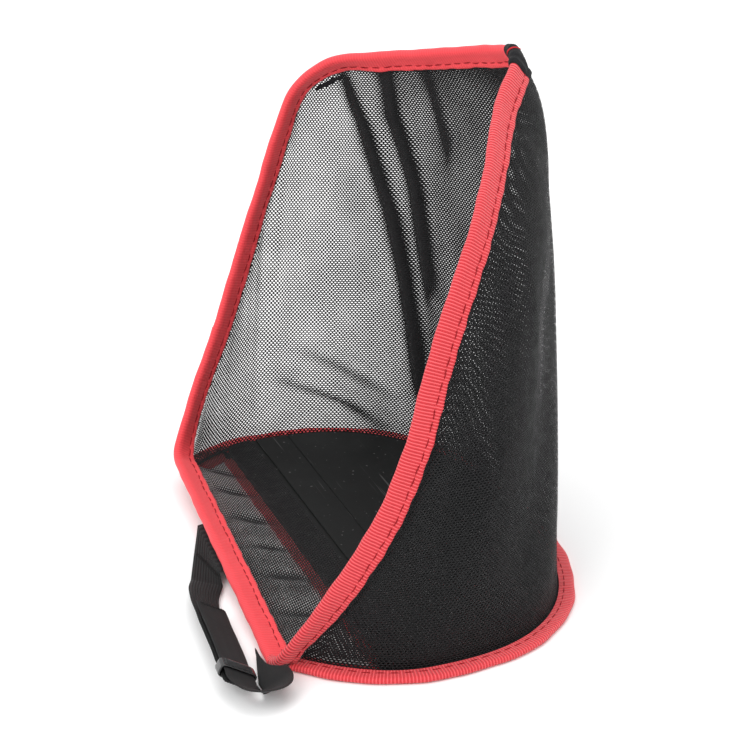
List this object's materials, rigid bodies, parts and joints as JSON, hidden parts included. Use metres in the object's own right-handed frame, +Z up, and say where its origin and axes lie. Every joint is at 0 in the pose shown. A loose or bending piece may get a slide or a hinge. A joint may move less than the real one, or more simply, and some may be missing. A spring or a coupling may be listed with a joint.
{
  "type": "ball catching net",
  "caption": "Free-standing scoop net for catching balls: see-through mesh wall on a flat D-shaped base, with a taped spring-wire mouth that folds down and an adjustable hand strap.",
  "frame": {"origin": "on the floor, under the middle of the whole object's box, strap included", "axes": "+X along the mouth's lip from the far corner to the near corner, +Y from the lip into the net towards its round back, +Z up"},
  "size_m": [0.2571, 0.1936, 0.24],
  "materials": {
    "red_tape": "ribbed grosgrain binding tape, soft sheen",
    "mesh": "knitted polyester netting, see-through",
    "base_plate": "satin moulded board with fine scratches",
    "base_panel": "plain black cloth",
    "black_fabric": "black woven cloth",
    "spring_wire": "drawn spring wire",
    "elastic": "ribbed elastic",
    "webbing": "fine smooth webbing",
    "slider": "polished moulding",
    "red_thread": "sewing thread",
    "black_thread": "sewing thread"
  },
  "bodies": {
    "base": {"base_plate": "base_plate", "base_panel": "base_panel", "base_binding": "red_tape", "front_seam_tape": "red_tape", "wall_mesh_far": "mesh", "wall_mesh_back": "mesh", "wall_mesh_near": "mesh", "lip_mesh": "mesh", "tape_lip_far": "red_tape", "tape_lip_near": "red_tape", "tape_far_foot": "red_tape", "tape_near_foot": "red_tape"},
    "rim": {"rim_wire": "spring_wire", "wire_ferrule": "spring_wire", "tape_far_lower": "red_tape", "tape_top_and_far": "red_tape", "tape_near_side": "red_tape", "apex_sleeve": "black_fabric", "apex_thread": "red_thread", "top_hem": "black_fabric"},
    "strap": {"elastic_strap": "elastic", "webbing_strap": "webbing", "elastic_end_stitches": "black_thread", "webbing_seam_stitches": "black_thread"},
    "slider": {"strap_slider": "slider"}
  },
  "joints": [
    {"name": "rim_fold", "type": "hinge", "parent": "base", "child": "rim", "pos_m": [0, -0.06262, 0.00905], "axis": [0.9962, -0.0666, -0.0569], "range_deg": [-45, 0], "deforming": ["wall_mesh_far", "wall_mesh_back", "wall_mesh_near", "tape_far_foot", "tape_near_foot"]},
    {"name": "strap_swing", "type": "hinge", "parent": "base", "child": "strap", "pos_m": [-0.033, -0.06374, 0.0069], "axis": [0.9971, -0.069, -0.0307], "range_deg": [-30, 60]},
    {"name": "slider_travel", "type": "slide", "parent": "strap", "child": "slider", "axis": [0.9957, -0.0928, 0], "range_m": [-0.044, 0]}
  ]
}
